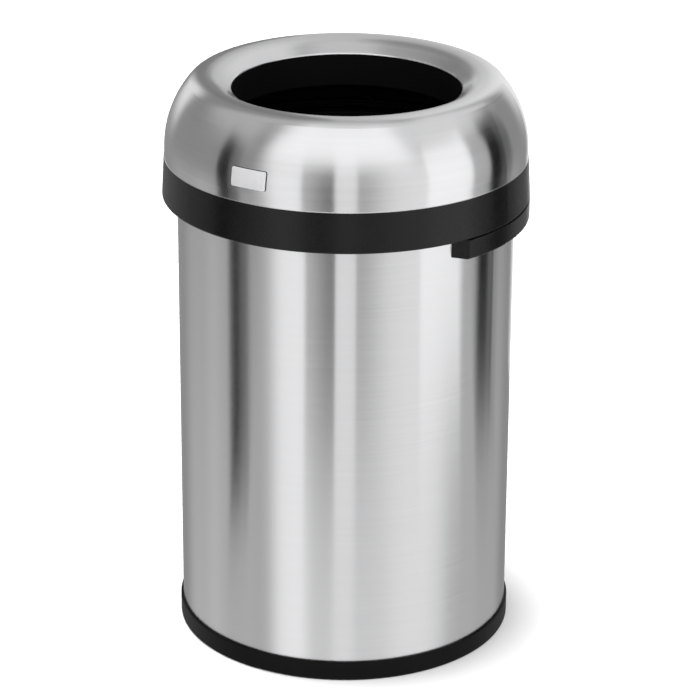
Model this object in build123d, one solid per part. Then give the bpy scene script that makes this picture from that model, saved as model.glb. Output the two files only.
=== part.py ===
"""Open-top trash can: a round steel can under a hinged dome lid with a funnel opening.

Millimetres. +Z is up, the floor is Z = 0 and the can's axis is the Z axis.
The front, with the badge and the finger gap, faces -Y. The lid hinge is at the back, +Y.
"""
from build123d import *
from math import asin, cos, degrees, hypot, radians, sin
import os

# Can body
body_radius = 205.0
body_wall = 1.0
tray_floor = 4.0
tray_wall = 2.8
tray_height = 25.0
tray_edge_round = 3.0
seat_gap = 0.2
pan_wall = 1.0
pan_rise = 10.0
pan_seat_gap = 1.0
pan_corner = 3.0

# Top rim of the can and the height of the lid above it
rim_top = 601.0
rim_thickness = 2.9
rim_leg = 2.0
rim_leg_length = 12.0
rim_overhang = 8.5
rim_fit = 0.1
rest_gap = 0.3
seam_rise = 8.4

# Lid band, the black skirt round the can
band_height = 48.9
band_standoff = 16.0
band_flare = 2.6
band_wall = 3.0
band_edge_round = 2.5
ledge_thickness = 4.0
ledge_reach = 18.0
joint_gap = 0.1

# Dome, as one line of tangent arcs from the seam up over the crest and down to the mouth
dome_wall = 1.0
dome_setback = 0.7
dome_ring_width = 81.8
dome_lean = 0.55
dome_straight = 12.4
shoulder_radius = 123.2
shoulder_angle = 41.0
crest_radius = 23.2
crest_angle = 97.9
funnel_radius = 42.6
funnel_angle = 124.0
mouth_roll = 2.5
hem_radius = 0.7
flange_lap = 3.2

# Black liner under the dome, with the throat below the mouth
liner_gap = 1.0
liner_wall = 2.0
liner_flange = 2.5
liner_setback = 1.0
throat_gap = 0.5
throat_depth = 40.0
web_lap = 0.2

# Lid screws and rubber bumpers, on one circle under the ledge
lid_pitch_setback = 9.5
lid_screw_count = 8
lid_screw_first_angle = 22.5
lid_screw_radius = 2.0
lid_screw_length = 15.0
screw_clearance = 0.2
screw_end_gap = 1.0
screw_head_radius = 3.5
screw_head_height = 2.2
boss_radius = 4.5
boss_cap = 0.7
bumper_count = 4
bumper_first_angle = 45.0
bumper_radius = 4.0
bumper_stem_radius = 2.0

# Collar that wraps the back of the can below the band
collar_height = 23.5
collar_gap = 1.0
collar_standoff = 18.5
collar_wall = 2.8
collar_edge_round = 2.0
collar_fit = 0.15
collar_end_inner_angle = 68.0
collar_end_outer_angle = 71.2
collar_end_round = 3.0
collar_rib_width = 12.0
collar_screw_angles = (30.0, 62.0, 94.0)
collar_screw_depth = 15.0
collar_screw_drop = 11.0
washer_radius = 6.0
washer_thickness = 1.0

# Lid hinge at the back
hinge_setback = 6.9
hinge_rise = 5.5
barrel_radius = 6.0
barrel_half_length = 41.7
ear_width = 10.0
ear_play = 0.3
hinge_pin_radius = 2.5
running_gap = 0.05
pin_relief = 0.5
pin_head_radius = 4.5
pin_head_length = 2.0
clip_thickness = 1.0
clip_groove_depth = 0.4
clip_mouth_share = 0.8
bush_wall = 1.4
bush_length = 12.0
hinge_plate_thickness = 2.5
hinge_plate_height = 36.0
hinge_plate_gap = 0.1
hinge_plate_rise = 1.0
hinge_web_reach = 6.0
plate_corner_round = 4.0
rivet_radius = 1.75
rivet_head_radius = 3.5
rivet_head_height = 1.2
rivet_angle = 6.5
rivet_heights = (17.5, 30.0)
rivet_seat_gap = 0.25
housing_depth = 8.0
housing_round = 4.0
lid_open_angle = 100.0
tail_reach = 3.5
tail_thickness = 3.0
tail_half_width = 20.0
stop_clearance = 0.3
buffer_width = 5.0
buffer_depth = 2.0
buffer_proud = 0.5
buffer_inset = 1.0
buffer_overlap = 2.0

# Ring that holds the bag, hinged inside the rim
bag_ring_reach = 18.0
bag_ring_wall = 2.0
bag_ring_overlap = 1.0
bag_ring_depth = 42.0
bag_ring_tab = 30.0
bag_ring_tab_reach = 14.0
bag_ring_trim = 5.5
ring_arm_lap = 4.0
ring_arm_neck = 2.0
ring_hinge_setback = 9.0
ring_hinge_rise = 5.5
ring_barrel_radius = 3.5
ring_barrel_half_length = 15.7
ring_ear_width = 4.0
ring_pin_radius = 1.5
ring_pin_overhang = 1.0

# Base screws and grip pads
base_screw_count = 6
base_screw_first_angle = 30.0
base_screw_setback = 34.0
base_screw_length = 8.0
base_boss_radius = 6.0
pad_count = 4
pad_first_angle = 45.0
pad_setback = 20.0
pad_radius = 12.0
pad_thickness = 2.0

# Badge on the front of the dome, bare
badge_width = 46.0
badge_height = 22.0
badge_rise = 30.4
badge_thickness = 1.5
badge_corner = 2.0
badge_pad_thickness = 0.5
badge_pad_border = 0.6
badge_pad_gap = 0.05

# Small rounds, and how far a cut runs past the face that it opens
small_round = 0.5
past = 1.0

# Heights and radii that follow from the sizes above
seam_height = rim_top + seam_rise
band_top = seam_height - joint_gap
band_bottom = band_top - band_height
ledge_bottom = band_top - ledge_thickness
collar_top = band_bottom - collar_gap
collar_bottom = collar_top - collar_height
band_top_radius = body_radius + band_standoff
band_bottom_radius = band_top_radius + band_flare
ledge_inner_radius = band_top_radius - ledge_reach
lid_pitch_radius = band_top_radius - lid_pitch_setback
dome_radius = band_top_radius - dome_setback
mouth_radius = dome_radius - dome_ring_width
liner_inner_radius = ledge_inner_radius + liner_setback
collar_radius = body_radius + collar_standoff
body_inner = body_radius - body_wall
body_bottom = tray_floor + seat_gap
pan_height = tray_floor + pan_rise
base_pitch_radius = body_inner - base_screw_setback
pad_pitch_radius = body_radius - pad_setback
body_top = rim_top - rim_thickness - rim_fit
rim_inner = body_inner - rim_fit - rim_leg
rim_outer = body_radius + rim_overhang
bag_ring_bottom_face = rim_top + rest_gap
bag_ring_top = bag_ring_bottom_face + bag_ring_wall
bag_ring_inner_radius = body_inner - bag_ring_reach
bag_ring_flange_radius = body_radius + bag_ring_overlap
hinge_y = band_bottom_radius + hinge_setback
hinge_z = band_bottom + hinge_rise
ring_hinge_y = body_inner - ring_hinge_setback
ring_hinge_z = rim_top + ring_hinge_rise
liner_bottom = seam_height + dome_wall + joint_gap
collar_screw_z = collar_bottom + collar_screw_drop
ear_inner_x = barrel_half_length + ear_play
ear_outer_x = ear_inner_x + ear_width
housing_back = hinge_y + housing_depth
back = 90.0
wide = 4 * body_radius


def drum(radius, low, high):
    """A plain upright cylinder from one height to another."""
    blank = Cylinder(radius, high - low, align=(Align.CENTER, Align.CENTER, Align.MIN))
    return Pos(0, 0, low) * blank


def hoop(inner, outer, low, high):
    """A plain upright ring."""
    return drum(outer, low, high) - drum(inner, low - past, high + past)


def block(x_low, x_high, y_low, y_high, z_low, z_high):
    """A box between two corners."""
    size = (x_high - x_low, y_high - y_low, z_high - z_low)
    centre = Pos((x_low + x_high) / 2, (y_low + y_high) / 2, (z_low + z_high) / 2)
    return centre * Box(*size)


def outline(*corners):
    """A flat section, with radius across and height up."""
    return make_face(Polyline(*corners, close=True))


def soften(section, radius, *corners):
    """Round the corners of a section that lie nearest the given points."""
    chosen = [section.vertices().sort_by_distance((r, z, 0))[0] for r, z in corners]
    return fillet(chosen, radius)


def turned(section):
    """Turn a section about the can's axis."""
    return revolve(Plane.XZ * section, Axis.Z)


def polar(radius, angle, height=0.0):
    """A place at a radius and at an angle from +X towards +Y."""
    return Pos(radius * cos(radians(angle)), radius * sin(radians(angle)), height)


def spaced(count, first):
    """Equal angles round the can, from the first."""
    return [first + 360.0 * step / count for step in range(count)]


def rod_x(radius, x_low, x_high, y, z):
    """A round bar along X."""
    bar = Rot(0, 90, 0) * Cylinder(radius, x_high - x_low)
    return Pos((x_low + x_high) / 2, y, z) * bar


def rod_out(radius, near, far, angle, height):
    """A round bar that points outward from the can's axis."""
    bar = Rot(0, 90, 0) * Cylinder(radius, far - near)
    return Rot(0, 0, angle) * (Pos((near + far) / 2, 0, height) * bar)


def plate_x(section, x_low, x_high):
    """Give a section in Y and Z a thickness along X."""
    return Pos(x_low, 0, 0) * extrude(Plane.YZ * section, x_high - x_low)


def band_radius(height):
    """Outer radius of the band, which widens a little downward."""
    share = (band_top - height) / band_height
    return band_top_radius + share * (band_bottom_radius - band_top_radius)


def dome_line(depth, with_roll):
    """The dome's outside line moved inward by a depth, from the seam to the mouth."""
    lean = radians(dome_lean)
    start = Vector(dome_radius - depth * cos(lean), seam_height - depth * sin(lean))
    side = Line(start, start + Vector(-sin(lean), cos(lean)) * dome_straight)
    shoulder = JernArc(side @ 1, side % 1, shoulder_radius - depth, shoulder_angle - dome_lean)
    crest = JernArc(shoulder @ 1, shoulder % 1, crest_radius - depth, crest_angle - shoulder_angle)
    fall = JernArc(crest @ 1, crest % 1, funnel_radius - depth, funnel_angle - crest_angle)
    turn_left = radians(180 - funnel_angle)
    roll_start = mouth_radius + mouth_roll * (1 - cos(turn_left)) + depth * cos(turn_left)
    length = ((fall @ 1).X - roll_start) / sin(radians(funnel_angle))
    funnel = Line(fall @ 1, fall @ 1 + (fall % 1) * length)
    pieces = [side, shoulder, crest, fall, funnel]
    if with_roll:
        pieces.append(JernArc(funnel @ 1, funnel % 1, mouth_roll - depth, 180 - funnel_angle))
    return pieces


def dome_skin(near, far, with_roll=False):
    """The section between two depths under the dome's outside line."""
    outer = dome_line(near, with_roll)
    inner = dome_line(far, with_roll)
    ends = [Line(outer[0] @ 0, inner[0] @ 0), Line(outer[-1] @ 1, inner[-1] @ 1)]
    return make_face(outer + inner + ends)


def make_body_shell():
    """The steel tube, with its holes for the collar screws."""
    shell = hoop(body_inner, body_radius, body_bottom, body_top)
    for angle in collar_angles():
        hole_radius = lid_screw_radius + screw_clearance
        shell -= rod_out(hole_radius, rim_inner, body_radius + past, angle, collar_screw_z)
    return shell


def collar_angles():
    """Where the collar's screws are, on both sides of the back."""
    return [back + side * angle for side in (-1, 1) for angle in collar_screw_angles]


def ring_ears():
    """Two small ears inside the rim that hold the bag ring's pin."""
    y_front = ring_hinge_y - ring_barrel_radius
    low = rim_top - rim_thickness
    root = rim_inner + rim_leg / 2
    section = outline((y_front, low), (root, low), (root, rim_top),
                      (ring_hinge_y + ring_barrel_radius, ring_hinge_z), (y_front, ring_hinge_z))
    section += Pos(ring_hinge_y, ring_hinge_z) * Circle(ring_barrel_radius)
    section -= Pos(ring_hinge_y, ring_hinge_z) * Circle(ring_pin_radius + running_gap)
    inner = ring_barrel_half_length + ear_play
    right = plate_x(section, inner, inner + ring_ear_width)
    return right + mirror(right, Plane.YZ)


def make_body_rim():
    """The black cap on the tube's top edge, with the flange that the lid rests on."""
    leg_low = body_top - rim_leg_length
    outer_leg = body_radius + rim_fit + rim_leg
    under = rim_top - rim_thickness
    section = outline((rim_inner, leg_low), (rim_inner, rim_top), (rim_outer, rim_top),
                      (rim_outer, under), (outer_leg, under), (outer_leg, leg_low),
                      (body_radius + rim_fit, leg_low), (body_radius + rim_fit, under),
                      (body_inner - rim_fit, under), (body_inner - rim_fit, leg_low))
    section = soften(section, rim_thickness / 3,
                     (rim_inner, rim_top), (rim_outer, rim_top), (rim_outer, under))
    return turned(section) + ring_ears()


def make_bottom_pan():
    """The pressed steel floor of the can."""
    radius = body_inner - rim_fit
    low = tray_floor + pan_seat_gap
    section = outline((0, pan_height - pan_wall), (radius - pan_wall, pan_height - pan_wall),
                      (radius - pan_wall, low), (radius, low), (radius, pan_height), (0, pan_height))
    section = soften(section, pan_corner, (radius, pan_height))
    section = soften(section, pan_corner - pan_wall, (radius - pan_wall, pan_height - pan_wall))
    pan = turned(section)
    hole = drum(lid_screw_radius + screw_clearance, low, pan_height + past)
    for angle in spaced(base_screw_count, base_screw_first_angle):
        pan -= polar(base_pitch_radius, angle) * hole
    return pan


def make_base_tray():
    """The black base, a flat tray round the foot of the can."""
    inner = body_radius + seat_gap
    outer = inner + tray_wall
    section = outline((0, 0), (outer, 0), (outer, tray_height), (inner, tray_height),
                      (inner, tray_floor), (0, tray_floor))
    section = soften(section, tray_edge_round, (outer, 0))
    section = soften(section, tray_wall / 4, (outer, tray_height), (inner, tray_height))
    tray = turned(section)
    boss_top = pan_height - pan_wall - joint_gap
    hole_bottom = pan_height - base_screw_length - screw_end_gap
    for angle in spaced(base_screw_count, base_screw_first_angle):
        spot = polar(base_pitch_radius, angle)
        tray += spot * drum(base_boss_radius, tray_floor / 2, boss_top)
        tray -= spot * drum(lid_screw_radius + running_gap, hole_bottom, tray_height)
    pocket = drum(pad_radius + joint_gap, -past, pad_thickness + joint_gap)
    for angle in spaced(pad_count, pad_first_angle):
        tray -= polar(pad_pitch_radius, angle) * pocket
    return tray


def pan_screw(length):
    """A pan-head screw that points down from Z = 0, its head above."""
    head = drum(screw_head_radius, 0, screw_head_height)
    head = fillet(head.edges().group_by(Axis.Z)[-1], screw_head_height / 2)
    slot = screw_head_radius / 4
    cross = block(-slot * 3, slot * 3, -slot / 2, slot / 2, screw_head_height / 2, screw_head_height + past)
    cross += Rot(0, 0, 90) * cross
    shank = drum(lid_screw_radius, -length, 0)
    shank = chamfer(shank.edges().group_by(Axis.Z)[0], lid_screw_radius / 2)
    return head - cross + shank


def make_base_screws():
    """Screws down through the pan into the tray's bosses."""
    screw = pan_screw(base_screw_length)
    angles = spaced(base_screw_count, base_screw_first_angle)
    return [polar(base_pitch_radius, angle, pan_height) * screw for angle in angles]


def make_base_pads():
    """Rubber grip pads, flush in the underside of the tray."""
    pad = drum(pad_radius, 0, pad_thickness)
    return [polar(pad_pitch_radius, angle) * pad for angle in spaced(pad_count, pad_first_angle)]


def ear_section(low):
    """The side view of one hinge ear, from a height up to the pin."""
    front = hinge_y - barrel_radius
    rear = hinge_y + barrel_radius
    section = outline((front, low), (rear, low), (rear, hinge_z), (front, hinge_z))
    section += Pos(hinge_y, hinge_z) * Circle(barrel_radius)
    return section


def front_wedge(extra=0.0):
    """Plan of the front stretch that the collar leaves free, widened by an angle on each side."""
    reach = 2 * collar_standoff
    corners = []
    for side in (-1, 1):
        near_turn = radians(side * (collar_end_inner_angle + extra))
        far_turn = radians(side * (collar_end_outer_angle + extra))
        near = Vector(body_radius * sin(near_turn), -body_radius * cos(near_turn))
        far = Vector(collar_radius * sin(far_turn), -collar_radius * cos(far_turn))
        slant = (far - near).normalized()
        corners.append((near - slant * reach, far + slant * reach))
    left, right = corners
    return make_face(Polyline(left[0], left[1], (left[1].X, -wide), (right[1].X, -wide),
                              right[1], right[0], close=True))


def collar_plan():
    """Plan of the collar's outside, a running gap wider, with its two end corners rounded."""
    plan = Circle(collar_radius + running_gap) - front_wedge()
    ends = [corner for corner in plan.vertices()
            if hypot(corner.X, corner.Y) > collar_radius and corner.Y < 0]
    return fillet(ends, collar_end_round)


def make_rear_collar():
    """The black collar round the back: a channel open below, with ribs, and the hinge housing."""
    inner = body_radius + collar_fit
    section = outline((inner, collar_bottom), (collar_radius, collar_bottom),
                      (collar_radius, collar_top), (inner, collar_top))
    section = soften(section, collar_edge_round, (collar_radius, collar_bottom))
    section = soften(section, small_round, (collar_radius, collar_top))
    plan = Pos(0, 0, collar_bottom - past) * extrude(collar_plan(), collar_height + 2 * past)
    solid = turned(section) & plan
    channel = Circle(collar_radius - collar_wall) - Circle(inner + collar_wall)
    channel -= front_wedge(degrees(collar_wall / body_radius))
    hollow = Pos(0, 0, collar_bottom - past) * extrude(channel, collar_height + past - collar_wall)
    for angle in collar_angles():
        rib = block(inner, collar_radius, -collar_rib_width / 2, collar_rib_width / 2,
                    collar_bottom, collar_top)
        hollow -= Rot(0, 0, angle) * rib
    root = body_radius - housing_depth
    housing = block(-ear_outer_x, ear_outer_x, root, housing_back, collar_bottom, collar_top)
    upright = [edge for edge in housing.edges().filter_by(Axis.Z) if edge.center().Y > hinge_y]
    housing = fillet(upright, housing_round)
    below = housing.edges().group_by(Axis.Z)[0].filter_by(lambda edge: edge.center().Y > hinge_y)
    housing = fillet(below, collar_edge_round)
    housing -= drum(inner, collar_bottom - past, collar_top + past)
    hollow -= block(-ear_outer_x, ear_outer_x, 0, housing_back, collar_bottom - 2 * past, collar_top)
    collar = solid - hollow + housing
    for side in (-1, 1):
        x_low, x_high = sorted((side * ear_inner_x, side * ear_outer_x))
        collar += plate_x(ear_section(collar_top - past), x_low, x_high)
    collar -= rod_x(hinge_pin_radius + running_gap, -wide, wide, hinge_y, hinge_z)
    collar -= buffer_block(joint_gap)
    for angle in collar_angles():
        depth = body_radius + collar_screw_depth
        collar -= rod_out(lid_screw_radius + running_gap, body_radius - past, depth, angle, collar_screw_z)
    return collar


def buffer_block(margin):
    """The rubber strip that the open lid lands on, or with a margin its pocket."""
    y_high = housing_back - buffer_inset
    x_half = tail_half_width + buffer_overlap + margin
    return block(-x_half, x_half, y_high - buffer_width - margin, y_high + margin,
                 collar_top - buffer_depth - margin, collar_top + buffer_proud)


def make_collar_screws():
    """Screws from inside the can, through the wall and into the collar's ribs."""
    seat = body_inner - joint_gap - washer_thickness
    length = body_radius + collar_screw_depth - screw_end_gap - seat
    screw = Rot(0, -90, 0) * pan_screw(length)
    screws = []
    for angle in collar_angles():
        screws.append(Rot(0, 0, angle) * (Pos(seat, 0, collar_screw_z) * screw))
    return screws


def make_collar_washers():
    """A flat washer under each collar screw, against the inside of the wall."""
    outside = body_inner - joint_gap
    inside = outside - washer_thickness
    washers = []
    for angle in collar_angles():
        disc = rod_out(washer_radius, inside, outside, angle, collar_screw_z)
        bore_radius = lid_screw_radius + screw_clearance
        washers.append(disc - rod_out(bore_radius, inside - past, outside + past, angle, collar_screw_z))
    return washers


def make_hinge_pin():
    """The lid hinge's steel pin, with a head at one end and a clip groove at the other."""
    clip_x = ear_outer_x + ear_play
    tip = clip_x + clip_thickness + pin_head_length
    head_x = -ear_outer_x - ear_play
    pin = rod_x(hinge_pin_radius, head_x, tip, hinge_y, hinge_z)
    pin = chamfer(pin.edges().group_by(Axis.X)[-1], clip_groove_depth)
    pin += rod_x(pin_head_radius, head_x - pin_head_length, head_x, hinge_y, hinge_z)
    groove = rod_x(pin_head_radius, clip_x, clip_x + clip_thickness + joint_gap, hinge_y, hinge_z)
    core = hinge_pin_radius - clip_groove_depth
    return pin - (groove - rod_x(core, clip_x - past, tip, hinge_y, hinge_z))


def make_pin_clip():
    """The open spring clip in the pin's groove."""
    clip_x = ear_outer_x + ear_play + joint_gap / 2
    core = hinge_pin_radius - clip_groove_depth + joint_gap / 2
    clip_end = clip_x + clip_thickness
    clip = rod_x(pin_head_radius, clip_x, clip_end, hinge_y, hinge_z)
    clip -= rod_x(core, clip_x - past, clip_end + past, hinge_y, hinge_z)
    mouth = core * clip_mouth_share
    return clip - block(clip_x - past, clip_end + past,
                        hinge_y - mouth, hinge_y + mouth, hinge_z - wide, hinge_z)


def make_lid_band():
    """The lid's black skirt, with the inward ledge that carries the dome."""
    ledge_under = (band_radius(ledge_bottom) - band_wall, ledge_bottom)
    foot = (band_bottom_radius - band_wall, band_bottom)
    section = outline((ledge_inner_radius, band_top), (band_top_radius, band_top),
                      (band_bottom_radius, band_bottom), foot, ledge_under,
                      (ledge_inner_radius, ledge_bottom))
    section = soften(section, band_edge_round, (band_bottom_radius, band_bottom))
    section = soften(section, band_wall, ledge_under)
    section = soften(section, small_round, (band_top_radius, band_top))
    band = turned(section)
    screw_hole = drum(lid_screw_radius + screw_clearance, ledge_bottom - past, band_top + past)
    for angle in spaced(lid_screw_count, lid_screw_first_angle):
        band -= polar(lid_pitch_radius, angle) * screw_hole
    bumper_hole = drum(bumper_stem_radius + running_gap, ledge_bottom - past, band_top + past)
    for angle in spaced(bumper_count, bumper_first_angle):
        band -= polar(lid_pitch_radius, angle) * bumper_hole
    for angle, height in rivet_places():
        band -= rod_out(rivet_radius + running_gap, body_radius, wide, angle, height)
    return band


def make_lid_dome():
    """The spun steel dome with its rolled mouth, its hem and the flange that is clamped."""
    section = dome_skin(0, dome_wall, with_roll=True)
    foot = dome_radius - dome_wall / 2
    flange = lid_pitch_radius - flange_lap
    section += Pos(dome_radius - hem_radius / 2, seam_height + hem_radius) * Circle(hem_radius)
    section += outline((flange, seam_height), (foot, seam_height),
                       (foot, seam_height + dome_wall), (flange, seam_height + dome_wall))
    dome = turned(section)
    hole = drum(lid_screw_radius + screw_clearance, seam_height - past, seam_height + dome_wall + past)
    for angle in spaced(lid_screw_count, lid_screw_first_angle):
        dome -= polar(lid_pitch_radius, angle) * hole
    return dome


def make_dome_liner():
    """The black moulded liner under the dome, with the throat and the screw bosses."""
    near = dome_wall + liner_gap
    shell = turned(dome_skin(near, near + liner_wall)) - drum(wide, 0, liner_bottom)
    line = dome_line(near, with_roll=False)
    throat = mouth_radius + throat_gap
    throat_outer = throat + liner_wall
    slope = cos(radians(funnel_angle)) / sin(radians(funnel_angle))
    top = (line[-1] @ 1).Y + ((line[-1] @ 1).X - throat_outer) * slope
    collar = hoop(throat, throat_outer, top - throat_depth, top - liner_wall / 2)
    web = outline((throat, top - 2 * liner_wall), (throat, top - liner_wall / 2),
                  ((line[-1] @ 1).X + liner_wall, (line[-1] @ 1).Y + web_lap),
                  ((line[-1] @ 1).X + liner_wall, (line[-1] @ 1).Y - liner_wall))
    rim = hoop(liner_inner_radius, dome_radius - near - joint_gap, liner_bottom, liner_bottom + liner_flange)
    liner = shell + collar + turned(web) + rim
    hole_top = ledge_bottom + lid_screw_length + screw_end_gap
    for angle in spaced(lid_screw_count, lid_screw_first_angle):
        spot = polar(lid_pitch_radius, angle)
        liner += spot * drum(boss_radius, liner_bottom, hole_top + boss_cap)
        liner -= spot * drum(lid_screw_radius + running_gap, liner_bottom - past, hole_top)
    return liner


def make_lid_screws():
    """Screws up through the ledge and the dome's flange into the liner's bosses."""
    screw = Rot(180, 0, 0) * pan_screw(lid_screw_length)
    angles = spaced(lid_screw_count, lid_screw_first_angle)
    return [polar(lid_pitch_radius, angle, ledge_bottom) * screw for angle in angles]


def make_lid_bumpers():
    """Rubber bumpers that the closed lid rests on."""
    foot = drum(bumper_radius, rim_top + rest_gap, ledge_bottom)
    foot = fillet(foot.edges().group_by(Axis.Z)[0], bumper_radius / 4)
    foot += drum(bumper_stem_radius, ledge_bottom, band_top - joint_gap)
    return [polar(lid_pitch_radius, angle) * foot for angle in spaced(bumper_count, bumper_first_angle)]


def badge_cut(border):
    """A block with the badge's front outline."""
    front = RectangleRounded(badge_width + 2 * border, badge_height + 2 * border, badge_corner + border)
    return Pos(0, 0, seam_height + badge_rise) * extrude(Plane.XZ * front, wide)


def make_badge_plate():
    """The small bare plate on the front of the dome."""
    skin = turned(dome_skin(-badge_pad_thickness - badge_thickness, -badge_pad_thickness))
    plate = skin & badge_cut(0)
    face = plate.faces().sort_by(Axis.Y)[0]
    return fillet(face.edges(), badge_thickness / 5)


def make_badge_pad():
    """The thin dark pad behind the badge."""
    skin = turned(dome_skin(-badge_pad_thickness + badge_pad_gap, -badge_pad_gap))
    return skin & badge_cut(badge_pad_border)


def rivet_places():
    """Angle and height of each hinge rivet."""
    return [(back + side * rivet_angle, band_bottom + rise) for side in (-1, 1) for rise in rivet_heights]


def make_lid_hinge():
    """The lid's half of the hinge: a curved plate with a long barrel and a stop rib."""
    low = band_bottom + hinge_plate_rise
    high = low + hinge_plate_height
    deep = low - hinge_plate_height
    gap = hinge_plate_gap
    section = outline((band_radius(low) + gap, low), (band_radius(high) + gap, high),
                      (band_radius(high) + gap + hinge_plate_thickness, high),
                      (band_radius(low) + gap + hinge_plate_thickness, low))
    front_view = RectangleRounded(2 * barrel_half_length, high - low, plate_corner_round)
    front_view = Pos(0, (low + high) / 2) * front_view
    plate = turned(section) & extrude(Plane.XZ * front_view, -wide)
    skirt = turned(outline((0, deep), (band_radius(deep) + gap, deep),
                           (band_radius(high) + gap, high), (0, high)))
    barrel = rod_x(barrel_radius, -barrel_half_length, barrel_half_length, hinge_y, hinge_z)
    web_front = hinge_y - barrel_radius - hinge_web_reach
    web = block(-barrel_half_length, barrel_half_length, web_front, hinge_y,
                hinge_z - barrel_radius * 0.6, hinge_z + barrel_radius)
    tail = plate_x(Pos(hinge_y, hinge_z) * Rot(0, 0, tail_angle()) * Pos(tail_length() / 2, 0)
                   * Rectangle(tail_length(), tail_thickness), -tail_half_width, tail_half_width)
    hinge = plate + (web + barrel - skirt) + tail
    bush_seat = hinge_pin_radius + running_gap + bush_wall
    hinge -= rod_x(hinge_pin_radius + pin_relief, -wide, wide, hinge_y, hinge_z)
    for x_low in (-barrel_half_length - past, barrel_half_length - bush_length):
        hinge -= rod_x(bush_seat + running_gap, x_low, x_low + bush_length + past, hinge_y, hinge_z)
    for angle, height in rivet_places():
        hinge -= rod_out(rivet_radius + running_gap, body_radius, wide, angle, height)
    return hinge


def tail_length():
    """How far the stop rib reaches from the pin's axis."""
    return barrel_radius + tail_reach


def tail_angle():
    """The stop rib's angle on the closed lid, from +Y up, so that it lands at full opening."""
    drop = hinge_z - (collar_top + buffer_proud) - stop_clearance
    corner = hypot(tail_length(), tail_thickness / 2)
    landing = -degrees(asin(drop / corner)) + degrees(asin(tail_thickness / 2 / corner))
    return landing + lid_open_angle


def make_hinge_bushes():
    """Plain bushes in both ends of the barrel."""
    inner = hinge_pin_radius + running_gap
    bushes = []
    for x_low in (-barrel_half_length, barrel_half_length - bush_length):
        x_high = x_low + bush_length
        outer = rod_x(inner + bush_wall, x_low, x_high, hinge_y, hinge_z)
        bushes.append(outer - rod_x(inner, x_low - past, x_high + past, hinge_y, hinge_z))
    return bushes


def make_hinge_rivets():
    """Rivets through the skirt and the hinge plate."""
    rivets = []
    for angle, height in rivet_places():
        inside = band_radius(height) - band_wall - rivet_seat_gap
        outside = band_radius(height) + hinge_plate_gap + hinge_plate_thickness + rivet_seat_gap
        rivet = rod_out(rivet_radius, inside, outside, angle, height)
        rivet += rod_out(rivet_head_radius, inside - rivet_head_height, inside, angle, height)
        rivet += rod_out(rivet_head_radius, outside, outside + rivet_head_height, angle, height)
        rivets.append(rivet)
    return rivets


def make_bag_ring():
    """The ring that traps the bag: a flange on the rim, a skirt inside and a small barrel."""
    skirt_outer = bag_ring_inner_radius + bag_ring_wall
    low = bag_ring_top - bag_ring_depth
    section = outline((bag_ring_inner_radius, low), (skirt_outer, low), (skirt_outer, bag_ring_bottom_face),
                      (bag_ring_flange_radius, bag_ring_bottom_face), (bag_ring_flange_radius, bag_ring_top),
                      (bag_ring_inner_radius, bag_ring_top))
    section = soften(section, bag_ring_wall, (bag_ring_inner_radius, bag_ring_top))
    ring = turned(section)
    trim = ring_hinge_y - bag_ring_trim
    ring -= block(-wide, wide, trim, wide, bag_ring_bottom_face - past, bag_ring_top + past)
    tab = RectangleRounded(bag_ring_tab, 2 * bag_ring_tab_reach, bag_ring_tab / 5)
    tab = Pos(0, -bag_ring_inner_radius, bag_ring_bottom_face) * extrude(tab, bag_ring_wall)
    ring += tab & drum(bag_ring_flange_radius, bag_ring_bottom_face, bag_ring_top)
    arm_front = bag_ring_inner_radius - ring_arm_lap
    arm = outline((arm_front, bag_ring_bottom_face), (trim, bag_ring_bottom_face),
                  (ring_hinge_y, ring_hinge_z - ring_barrel_radius),
                  (ring_hinge_y, ring_hinge_z + ring_barrel_radius),
                  (trim - ring_arm_neck, ring_hinge_z + ring_barrel_radius))
    arm += Pos(ring_hinge_y, ring_hinge_z) * Circle(ring_barrel_radius)
    arm -= Pos(ring_hinge_y, ring_hinge_z) * Circle(ring_pin_radius + running_gap)
    return ring + plate_x(arm, -ring_barrel_half_length, ring_barrel_half_length)


def make_ring_pin():
    """The bag ring's hinge pin."""
    half = ring_barrel_half_length + ear_play + ring_ear_width + ring_pin_overhang
    return rod_x(ring_pin_radius, -half, half, ring_hinge_y, ring_hinge_z)


parts = {
    "body_shell": make_body_shell,
    "body_rim": make_body_rim,
    "bottom_pan": make_bottom_pan,
    "base_tray": make_base_tray,
    "base_screws": make_base_screws,
    "base_pads": make_base_pads,
    "rear_collar": make_rear_collar,
    "collar_screws": make_collar_screws,
    "collar_washers": make_collar_washers,
    "stop_buffer": lambda: buffer_block(0.0),
    "hinge_pin": make_hinge_pin,
    "pin_clip": make_pin_clip,
    "lid_dome": make_lid_dome,
    "dome_liner": make_dome_liner,
    "lid_band": make_lid_band,
    "lid_screws": make_lid_screws,
    "lid_bumpers": make_lid_bumpers,
    "badge_plate": make_badge_plate,
    "badge_pad": make_badge_pad,
    "lid_hinge": make_lid_hinge,
    "hinge_bushes": make_hinge_bushes,
    "hinge_rivets": make_hinge_rivets,
    "bag_ring": make_bag_ring,
    "ring_pin": make_ring_pin,
}

os.makedirs("parts", exist_ok=True)
for node, make in parts.items():
    made = make()
    shape = Compound(children=made) if isinstance(made, list) else made
    export_step(shape, f"parts/{node}.step")
    box = shape.bounding_box()
    print(f"{node}: {len(shape.solids())} solids, height {box.min.Z:.1f} to {box.max.Z:.1f}")
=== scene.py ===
# %% [markdown]
# # An open-top trash can in brushed steel
#
# This can is a tall steel tube under a hinged lid. The lid is a spun dome like half a ring
# doughnut, and its middle falls as a funnel to a wide round mouth. A black skirt hides the joint
# between lid and can, a black collar wraps the back, and a black tray is the foot.
#
# The solids come from CAD, in metres, already in place and already on the bodies that move.
# This notebook gives them their finishes, builds a small photo studio round them and sets the camera.

# %% Load the frame
from math import cos, pi, radians, sin

import bpy
from mathutils import Matrix, Vector

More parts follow.
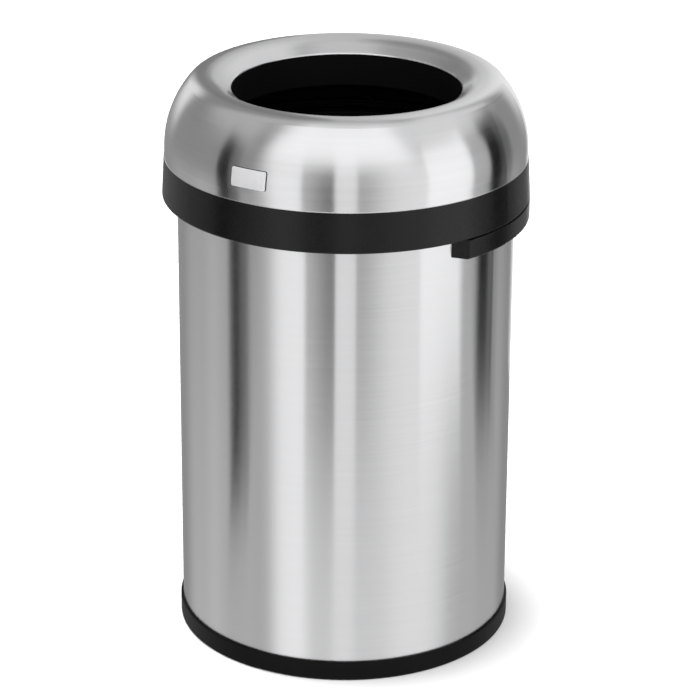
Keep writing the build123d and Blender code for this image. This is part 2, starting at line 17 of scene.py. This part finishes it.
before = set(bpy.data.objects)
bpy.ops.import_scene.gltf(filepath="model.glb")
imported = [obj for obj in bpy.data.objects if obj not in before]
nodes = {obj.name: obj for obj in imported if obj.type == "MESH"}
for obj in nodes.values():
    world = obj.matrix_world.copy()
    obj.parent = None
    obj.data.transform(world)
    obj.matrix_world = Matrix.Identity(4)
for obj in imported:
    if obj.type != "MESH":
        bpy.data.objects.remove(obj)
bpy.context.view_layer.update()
bpy.ops.object.select_all(action="DESELECT")

# %% [markdown]
# ## The camera
#
# The photograph was taken with a long lens from about three and a half metres away, looking down
# on the can by 22 degrees. The camera could be nudged by eye until the outlines match. It is
# better worked out: the ellipses of the rim, the mouth and the foot fix its distance, its height and
# its tilt, and the badge on the front shows that it stands 31 degrees round to the right.

# %% Camera
camera_turn = radians(30.9)
camera_distance = 3.5502
camera_height = 1.7875
camera_pitch = radians(22.012)
camera_roll = 0.0062
camera_yaw = 0.00168
sensor_width = 36.0
focal_pixels = 3083.89
frame_pixels = 700.0

toward_camera = Vector((sin(camera_turn), -cos(camera_turn), 0.0))
photo_right = Vector((cos(camera_turn), sin(camera_turn), 0.0))


def camera_matrix():
    """Place and turn of the camera, from its three angles."""
    level = -toward_camera * cos(camera_yaw) + photo_right * sin(camera_yaw)
    ahead = level * cos(camera_pitch) - Vector((0, 0, sin(camera_pitch)))
    side = photo_right * cos(camera_yaw) + toward_camera * sin(camera_yaw)
    up = side.cross(ahead)
    right = side * cos(camera_roll) + up * sin(camera_roll)
    top = up * cos(camera_roll) - side * sin(camera_roll)
    place = toward_camera * camera_distance + Vector((0, 0, camera_height))
    turn = Matrix((right, top, -ahead)).transposed().to_4x4()
    return Matrix.Translation(place) @ turn


lens = bpy.data.cameras.new("photo_camera")
lens.sensor_width = sensor_width
lens.lens = focal_pixels * sensor_width / frame_pixels
camera = bpy.data.objects.new("photo_camera", lens)
bpy.context.collection.objects.link(camera)
camera.matrix_world = camera_matrix()
bpy.context.scene.camera = camera
bpy.context.scene.view_settings.view_transform = "Standard"
print("lens in mm:", round(lens.lens, 1))

# %% [markdown]
# ## Writing shaders as sums
#
# Every finish below is a node tree. Trees can be wired node by node, but long sums are hard to
# read that way. So one small class wraps a socket, and the usual operators add the Math nodes:
# `1 - mask` or `noise * 0.2 + 0.5` then build the tree as they are worked out.

# %% Shader expressions
class Wire:
    """A socket in a shader tree that can be added, subtracted and multiplied like a number."""

    def __init__(self, tree, socket):
        self.tree = tree
        self.socket = socket

    def math(self, operation, *inputs):
        """Add a Math node that works on these inputs."""
        node = self.tree.nodes.new("ShaderNodeMath")
        node.operation = operation
        for socket, value in zip(node.inputs, inputs):
            plug(self.tree, socket, value)
        return Wire(self.tree, node.outputs[0])

    def __add__(self, other):
        return self.math("ADD", self, other)

    def __sub__(self, other):
        return self.math("SUBTRACT", self, other)

    def __rsub__(self, other):
        return self.math("SUBTRACT", other, self)

    def __mul__(self, other):
        return self.math("MULTIPLY", self, other)

    __radd__ = __add__
    __rmul__ = __mul__


def plug(tree, socket, value):
    """Link a wire to a socket, or set the socket's own number."""
    if isinstance(value, Wire):
        tree.links.new(value.socket, socket)
    else:
        socket.default_value = value


class Finish:
    """The node tree of one material or of the world."""

    def __init__(self, owner):
        owner.use_nodes = True
        self.tree = owner.node_tree
        self.tree.nodes.clear()

    def node(self, kind, settings=None, sockets=None, output=0):
        """Add any node: its settings first, then the values or links of its sockets."""
        node = self.tree.nodes.new(kind)
        for name, value in (settings or {}).items():
            setattr(node, name, value)
        for name, value in (sockets or {}).items():
            plug(self.tree, node.inputs[name], value)
        return Wire(self.tree, node.outputs[output]) if node.outputs else None

    def parts(self, vector):
        """The three numbers of a vector."""
        split = self.node("ShaderNodeSeparateXYZ", sockets={0: vector})
        outputs = split.socket.node.outputs
        return [Wire(self.tree, outputs[axis]) for axis in range(3)]

    def ramp(self, value, low, high, start=0.0, end=1.0):
        """Go smoothly from start to end as the value goes from low to high."""
        return self.node("ShaderNodeMapRange", {"interpolation_type": "SMOOTHSTEP"},
                         {"Value": value, "From Min": low, "From Max": high, "To Min": start, "To Max": end})

    def window(self, value, low, high, soft):
        """One between low and high, falling to nothing over a soft edge outside them."""
        rising = self.ramp(value, low - soft, low + soft)
        falling = self.ramp(value, high - soft, high + soft, 1.0, 0.0)
        return rising * falling


def new_material(name):
    """A material and its empty node tree."""
    material = bpy.data.materials.new(name)
    return material, Finish(material)


print("shader helpers ready")

# %% [markdown]
# ## The studio
#
# A steel can shows little of its own colour: what the eye reads as steel is the room in it. A
# white floor alone would give a white can. In the studio the can stood on white paper with
# narrow cards near it, and these are the dark streaks in the steel. They are darkest high on the
# body and fade downward, because low down the steel looks under the cards at the paper.
#
# The room could be a picture wrapped round the scene, but then nobody could change it. Here it is
# a sky of soft-edged panels, each with its brightness, its angle round the can and its height. An
# angle of zero is the camera's side, and positive angles are to the right in the photograph. Each
# panel covers what the panels before it left there, so a strip comes after the wall behind it.

# %% Sky panels
to_degrees = 180 / pi


def studio_angles(finish, direction):
    """Angle round the can from the camera's side, and height above the horizon, in degrees."""
    ahead = finish.node("ShaderNodeVectorMath", {"operation": "DOT_PRODUCT"},
                        {0: direction, 1: toward_camera}, output="Value")
    aside = finish.node("ShaderNodeVectorMath", {"operation": "DOT_PRODUCT"},
                        {0: direction, 1: photo_right}, output="Value")
    height = finish.parts(direction)[2]
    turn = ahead.math("ARCTAN2", aside, ahead) * to_degrees
    rise = height.math("ARCSINE", height) * to_degrees
    return turn, rise


world = bpy.data.worlds.new("studio")
bpy.context.scene.world = world
sky = Finish(world)
gaze = sky.node("ShaderNodeTexCoord", output="Generated")
turn, rise = studio_angles(sky, gaze)
room_level = 0.30
below = -100
panels = [
    # Each row: brightness, turn from and to, rise from and to, softness of the edges.
    # The paper to the left and to the right, and the wall above it on the right.
    (0.64, (-142, -58), (below, -20), 12),
    (0.56, (70, 142), (below, -20), 10),
    (0.54, (70, 108), (-20, 16), 10),
    # The camera's side, and three brighter strips in it.
    (0.80, (-55, 76), (below, 24), 9),
    (1.06, (-48, -26), (below, 16), 6),
    (0.90, (-9, 7), (below, 20), 5),
    (0.94, (34, 66), (below, 20), 12),
    # A strip of the paper on the left.
    (0.68, (-110, -97), (below, -20), 7),
    # The big soft box above the camera, and the duller parts round it and overhead.
    (1.24, (-56, 48), (21, 76), 7),
    (0.84, (44, 90), (30, 80), 8),
    (0.66, (-200, 200), (72, 100), 8),
    (0.56, (-124, -70), (25, 74), 8),
    (0.84, (82, 136), (24, 66), 8),
    # Two strips behind the can.
    (0.84, (148, 172), (-6, 60), 8),
    (0.92, (-162, -141), (-4, 25), 6),
]
brightness = room_level
for level, turns, rises, soft in panels:
    mask = sky.window(turn, *turns, soft) * sky.window(rise, *rises, soft)
    brightness = brightness + (level - brightness) * mask
print("panels hung:", len(panels))

# %% [markdown]
# The camera sees a white backdrop at full strength, and everything else is lit by the panels. A
# Light Path node tells the two apart, so that the background can be white without more light on
# the object.

# %% Sky shader
plain_white = (1, 1, 1, 1)
glow = sky.node("ShaderNodeBackground", sockets={"Color": plain_white, "Strength": brightness})
white = sky.node("ShaderNodeBackground", sockets={"Color": plain_white, "Strength": 1.0})
seen = sky.node("ShaderNodeLightPath", output="Is Camera Ray")
backdrop = sky.node("ShaderNodeMixShader", sockets={0: seen, 1: glow, 2: white})
sky.node("ShaderNodeOutputWorld", sockets={"Surface": backdrop})
print("sky nodes:", len(world.node_tree.nodes))

# %% [markdown]
# The floor is white paper. Its own colour gives the soft shadow, and some plain white is mixed in
# for the camera, as if the paper were lit a little from below. The reflections in the steel look
# past it at the lower sky panels, which stand for the paper's brighter and duller areas.

# %% Floor
floor_size = 12.0
paper_colour = (0.92, 0.92, 0.92, 1)
paper_glow = 0.28
bpy.ops.mesh.primitive_plane_add(size=floor_size, location=(0, 0, 0))
floor = bpy.context.object
floor.name = "studio_floor"
floor.visible_glossy = False

paper, finish = new_material("white studio paper")
lit = finish.node("ShaderNodeBsdfDiffuse", sockets={"Color": paper_colour})
bright = finish.node("ShaderNodeEmission", sockets={"Strength": 1.0})
seen = finish.node("ShaderNodeLightPath", output="Is Camera Ray")
surface = finish.node("ShaderNodeMixShader", sockets={0: seen * paper_glow, 1: lit, 2: bright})
finish.node("ShaderNodeOutputMaterial", sockets={"Surface": surface})
floor.data.materials.append(paper)
print("floor metres:", floor_size)

# %% [markdown]
# A big soft light hangs almost straight above, a little to the left and behind. It is a sun lamp
# with a wide disk, so that the paper stays white all the way back. It makes the short soft shadow
# that hugs the foot on the right. Reflections don't see it, because the panels do its work there.

# %% Soft light
light_height = 3.0
light_left = 0.27
light_back = 0.12
light_disk = radians(15)
light_strength = 4.0

lamp = bpy.data.lights.new("soft_light", "SUN")
lamp.angle = light_disk
lamp.energy = light_strength
soft_light = bpy.data.objects.new("soft_light", lamp)
bpy.context.collection.objects.link(soft_light)
soft_light.location = Vector((0, 0, light_height)) - photo_right * light_left - toward_camera * light_back
soft_light.rotation_euler = (-soft_light.location).to_track_quat("-Z", "Y").to_euler()
soft_light.visible_glossy = False
print("soft light at", [round(value, 2) for value in soft_light.location])

# %% [markdown]
# ## The cards
#
# A card could be pushed about until its streak falls on the right part of the can. The mirror
# law gives its place at once: a line from the camera to one edge of the streak, turned about the
# wall's normal there, meets the card's edge. So each card is given by the strip of the wall that
# it fills, in degrees from the camera's side, and by how far from the wall it stands.
#
# Only reflections see the cards. They stay out of every view and cast no shadow.

# %% Cards
wall_radius = 0.205


def mirror_point(strip_angle, reach):
    """Where the reflected sight line is after a distance, for one angle on the wall."""
    normal = photo_right * sin(radians(strip_angle)) + toward_camera * cos(radians(strip_angle))
    start = normal * wall_radius
    to_eye = (toward_camera * camera_distance - start).normalized()
    return start + (2 * normal.dot(to_eye) * normal - to_eye) * reach


def put_card(name, left, right, top, levels):
    """A card on two points of the floor, whose brightness goes from its left edge to its right."""
    middle = (left + right) / 2
    across = right - left
    bpy.ops.object.select_all(action="DESELECT")
    bpy.ops.mesh.primitive_plane_add(size=1.0, location=(middle.x, middle.y, top / 2))
    card = bpy.context.object
    card.name = name
    card.scale = (across.length, top, 1.0)
    card.rotation_euler = (pi / 2, 0, across.to_2d().angle_signed(Vector((1, 0))))
    for view in ("visible_camera", "visible_diffuse", "visible_shadow", "visible_transmission"):
        setattr(card, view, False)
    material, finish = new_material(name)
    # The card's own X goes from -0.5 to 0.5, since its size is in its scale.
    place = finish.parts(finish.node("ShaderNodeTexCoord", output="Object"))[0]
    strength = finish.ramp(place, -0.5, 0.5, *levels)
    glow = finish.node("ShaderNodeEmission", sockets={"Strength": strength})
    finish.node("ShaderNodeOutputMaterial", sockets={"Surface": glow})
    card.data.materials.append(material)
    print(name, "is", round(across.length, 3), "m wide")


def stand_card(name, strip, reach, top, levels):
    """A card that fills one strip of the wall, seen from the camera."""
    put_card(name, *[mirror_point(angle, reach) for angle in strip], top, levels)


stand_card("left_black_card", strip=(-42.0, -37.4), reach=0.45, top=0.90, levels=(0.0, 0.01))
stand_card("left_grey_card", strip=(-37.7, -33.9), reach=0.45, top=0.90, levels=(0.14, 0.20))
stand_card("middle_soft_card", strip=(-13.2, -3.4), reach=0.72, top=0.92, levels=(0.50, 0.17))
stand_card("middle_pale_card", strip=(3.4, 17.0), reach=0.76, top=0.92, levels=(0.46, 0.88))
stand_card("right_white_card", strip=(25.0, 41.2), reach=0.95, top=1.20, levels=(1.20, 1.18))
stand_card("right_black_card", strip=(48.9, 54.4), reach=0.74, top=1.04, levels=(0.0, 0.0))
stand_card("right_grey_card", strip=(54.4, 61.0), reach=0.74, top=1.04, levels=(0.08, 0.17))

# %% [markdown]
# The funnel looks over the mouth at what stands behind the can. There two tall boards stand side
# by side, a dark one on the left and a bright one on the right. Without them both sides of the
# funnel would look alike. Like the cards, they are seen by reflections only.

# %% Back boards
board_distance = 0.75
board_top = 2.4


def behind(aside):
    """A point of the floor behind the can, so far to the photograph's right."""
    return photo_right * aside - toward_camera * board_distance


put_card("back_dark_board", behind(-0.35), behind(-0.07), board_top, levels=(0.22, 0.26))
put_card("back_bright_board", behind(-0.07), behind(0.50), board_top, levels=(0.62, 0.96))

# %% [markdown]
# ## Giving finishes to the pieces
#
# No real surface has one flat tone and one flat gloss. So each finish mixes two close tones by
# noises, and moves its gloss by them too. Painted pictures could do this as well, but a noise
# needs no unwrapping and stays sharp from any distance. A noise is stretched along the grain by a
# scale for each axis, in waves per metre.

# %% Finish helpers
def noise(finish, scale, detail=2.0, place=None):
    """Noise on the piece's own coordinates in metres, with a scale for each axis."""
    place = place or finish.node("ShaderNodeTexCoord", output="Object")
    stretched = finish.node("ShaderNodeMapping", sockets={"Vector": place, "Scale": scale})
    return finish.node("ShaderNodeTexNoise", sockets={"Vector": stretched, "Scale": 1.0, "Detail": detail})


def two_tone(finish, factor, dark, pale):
    """A colour between two, by a factor."""
    sockets = {0: factor, 6: (*dark, 1), 7: (*pale, 1)}
    return finish.node("ShaderNodeMix", {"data_type": "RGBA"}, sockets, output=2)


def bump(finish, height, strength, depth):
    """A normal that follows a height, which is at most so many metres deep."""
    sockets = {"Strength": strength, "Distance": depth, "Height": height}
    return finish.node("ShaderNodeBump", sockets=sockets)


def put_surface(finish, sockets):
    """Close a material with one Principled shader."""
    shader = finish.node("ShaderNodeBsdfPrincipled", sockets=sockets)
    finish.node("ShaderNodeOutputMaterial", sockets={"Surface": shader})


def dress(material, *names):
    """Give CAD nodes a finish."""
    for name in names:
        for slot in nodes[name].material_slots:
            slot.material = material
    print(material.name, "on", ", ".join(names))


print("finish helpers ready")

# %% [markdown]
# ## Brushed steel
#
# The can's wall is sheet steel brushed round and round. Each scratch is far too fine to model, but
# all of them together smear a reflection up and down and leave it sharp from side to side. That is
# anisotropic gloss, turned by a quarter because Blender's own grain direction runs round the Z
# axis. The scratches also show as faint lines. A noise that is long round the wall and very fine
# in height varies the gloss, the tone and a trace of bump.

# %% Body steel
quarter_turn = 0.25
scratch_strength = 0.04
scratch_depth = 0.0002

body_steel, finish = new_material("body steel, brushed round")
fine_lines = noise(finish, (9, 9, 1500))
broad_lines = noise(finish, (5, 5, 260))
smudges = noise(finish, (7, 7, 5), detail=3.0)
tone = fine_lines * 0.75 + broad_lines * 0.25
put_surface(finish, {
    "Metallic": 1.0, "Anisotropic": 1.0, "Anisotropic Rotation": quarter_turn,
    "Roughness": 0.15 + fine_lines * 0.07 + broad_lines * 0.01 + smudges * 0.02,
    "Base Color": two_tone(finish, tone, (0.69, 0.69, 0.70), (0.79, 0.79, 0.80)),
    "Normal": bump(finish, fine_lines, scratch_strength, scratch_depth)})
dress(body_steel, "body_shell")

# %% [markdown]
# ## Spun steel
#
# The dome is spun over a form and brushed on the lathe, so its grain runs in rings too, but the
# rings follow the curve over the crest and down into the funnel. Lines of equal height would
# spread out on the flat crest. Instead the grain is laid by the angle round the middle of the
# doughnut, which keeps the rings evenly spaced all the way over.

# %% Dome steel
doughnut_radius = 0.165
doughnut_height = 0.640
crest_radius = 0.06


def ring_place(finish):
    """Coordinates for rings on the dome: long round the can, and an arc length over the crest."""
    x, y, z = finish.parts(finish.node("ShaderNodeTexCoord", output="Object"))
    radius = (x * x + y * y).math("SQRT", x * x + y * y)
    over = radius.math("ARCTAN2", z - doughnut_height, radius - doughnut_radius) * crest_radius
    return finish.node("ShaderNodeCombineXYZ", sockets={0: x, 1: y, 2: over})


dome_steel, finish = new_material("dome steel, spun and brushed")
rings = ring_place(finish)
fine_rings = noise(finish, (9, 9, 1100), place=rings)
broad_rings = noise(finish, (4, 4, 160), place=rings)
smudges = noise(finish, (9, 9, 9), detail=3.0)
tone = fine_rings * 0.4 + broad_rings * 0.6
put_surface(finish, {
    "Metallic": 1.0, "Anisotropic": 0.95, "Anisotropic Rotation": quarter_turn,
    "Roughness": 0.15 + fine_rings * 0.05 + broad_rings * 0.04 + smudges * 0.03,
    "Base Color": two_tone(finish, tone, (0.69, 0.69, 0.70), (0.80, 0.80, 0.81)),
    "Normal": bump(finish, fine_rings, scratch_strength, scratch_depth)})
dress(dome_steel, "lid_dome")

# %% [markdown]
# ## Small metal pieces
#
# The floor pan is plain mill sheet, which is duller and cloudy. The screws, washers and pins are
# plated or turned bar. They have no long grain, so their gloss varies with a fine even noise.

# %% Small metals
def plain_metal(name, dark, pale, roughness, spread, scale):
    """A metal without long grain, whose tone and gloss vary with one noise."""
    material, finish = new_material(name)
    cloud = noise(finish, (scale, scale, scale), detail=4.0)
    put_surface(finish, {
        "Metallic": 1.0, "Base Color": two_tone(finish, cloud, dark, pale),
        "Roughness": cloud * spread + (roughness - spread / 2)})
    return material


mill = plain_metal("pan steel, mill sheet", (0.42, 0.42, 0.43), (0.60, 0.60, 0.61), 0.42, 0.20, 40)
dress(mill, "bottom_pan")
zinc = plain_metal("screw steel, zinc plated", (0.50, 0.51, 0.54), (0.66, 0.67, 0.70), 0.34, 0.16, 700)
dress(zinc, "base_screws", "collar_screws", "collar_washers", "lid_screws")
bar = plain_metal("pin steel, turned bar", (0.48, 0.48, 0.49), (0.62, 0.62, 0.63), 0.30, 0.14, 900)
dress(bar, "hinge_pin", "pin_clip", "hinge_rivets", "ring_pin")

# %% [markdown]
# The badge is a small pale plate, brighter than the steel behind it. A pale satin lacquer over
# metal does that: part of its light is scattered, so it stays bright where the dome is dark. A
# shader that is only partly metallic stands for the two layers. A dark pad behind the plate shows
# as a thin line round its edge.

# %% Badge plate
badge_satin, finish = new_material("badge plate, pale satin")
grit = noise(finish, (250, 250, 2400))
put_surface(finish, {
    "Metallic": 0.45, "Roughness": grit * 0.14 + 0.36,
    "Base Color": two_tone(finish, grit, (0.62, 0.62, 0.63), (0.74, 0.74, 0.75))})
dress(badge_satin, "badge_plate")

# %% [markdown]
# ## Moulded plastics, rubber and powder coat
#
# The skirt and the collar are matte charcoal plastic with a very fine moulded grain. Seen square on
# they are almost black, and towards the sides they turn grey, because every smooth surface mirrors
# more at a glancing angle. The foot is the same kind of plastic with a satin skin. What lies
# inside the mouth is matte black. A bump of fine noise gives the grain, and a broad noise keeps the
# tone from being one flat colour.

# %% Dark materials
slow_scale = 16
grain_strength = 0.35


def moulded(name, dark, pale, roughness, gloss, grain_scale, grain_depth):
    """A dark moulding: fine grain in the bump, slow changes in tone and gloss."""
    material, finish = new_material(name)
    grain = noise(finish, (grain_scale,) * 3, detail=3.0)
    slow = noise(finish, (slow_scale,) * 3)
    # The two noises add 0.08 to the roughness on average, and so much is taken off first.
    put_surface(finish, {
        "Base Color": two_tone(finish, slow * 0.6 + grain * 0.4, dark, pale),
        "Roughness": slow * 0.10 + grain * 0.06 + (roughness - 0.08),
        "Specular IOR Level": gloss,
        "Normal": bump(finish, grain, grain_strength, grain_depth)})
    return material


charcoal = moulded("band plastic, matte charcoal", (0.002, 0.002, 0.002), (0.005, 0.005, 0.005),
                   roughness=0.27, gloss=0.30, grain_scale=1300, grain_depth=0.00012)
dress(charcoal, "lid_band", "rear_collar")
satin_black = moulded("base plastic, satin black", (0.0015, 0.0015, 0.0015), (0.0035, 0.0035, 0.0035),
                      roughness=0.40, gloss=0.10, grain_scale=1500, grain_depth=0.00006)
dress(satin_black, "base_tray")
inner_black = moulded("inner plastic, matte black", (0.003, 0.003, 0.003), (0.006, 0.005, 0.006),
                      roughness=0.6, gloss=0.10, grain_scale=1100, grain_depth=0.0001)
dress(inner_black, "dome_liner", "body_rim", "bag_ring")
rubber = moulded("black rubber", (0.008, 0.008, 0.008), (0.016, 0.016, 0.016),
                 roughness=0.75, gloss=0.2, grain_scale=900, grain_depth=0.0001)
dress(rubber, "base_pads", "stop_buffer", "lid_bumpers", "badge_pad")
powder = moulded("hinge metal, powder coat", (0.012, 0.012, 0.012), (0.026, 0.026, 0.027),
                 roughness=0.45, gloss=0.5, grain_scale=420, grain_depth=0.0003)
dress(powder, "lid_hinge")
nylon = moulded("bush nylon, natural", (0.62, 0.60, 0.54), (0.78, 0.77, 0.72),
                roughness=0.5, gloss=0.5, grain_scale=800, grain_depth=0.00005)
dress(nylon, "hinge_bushes")
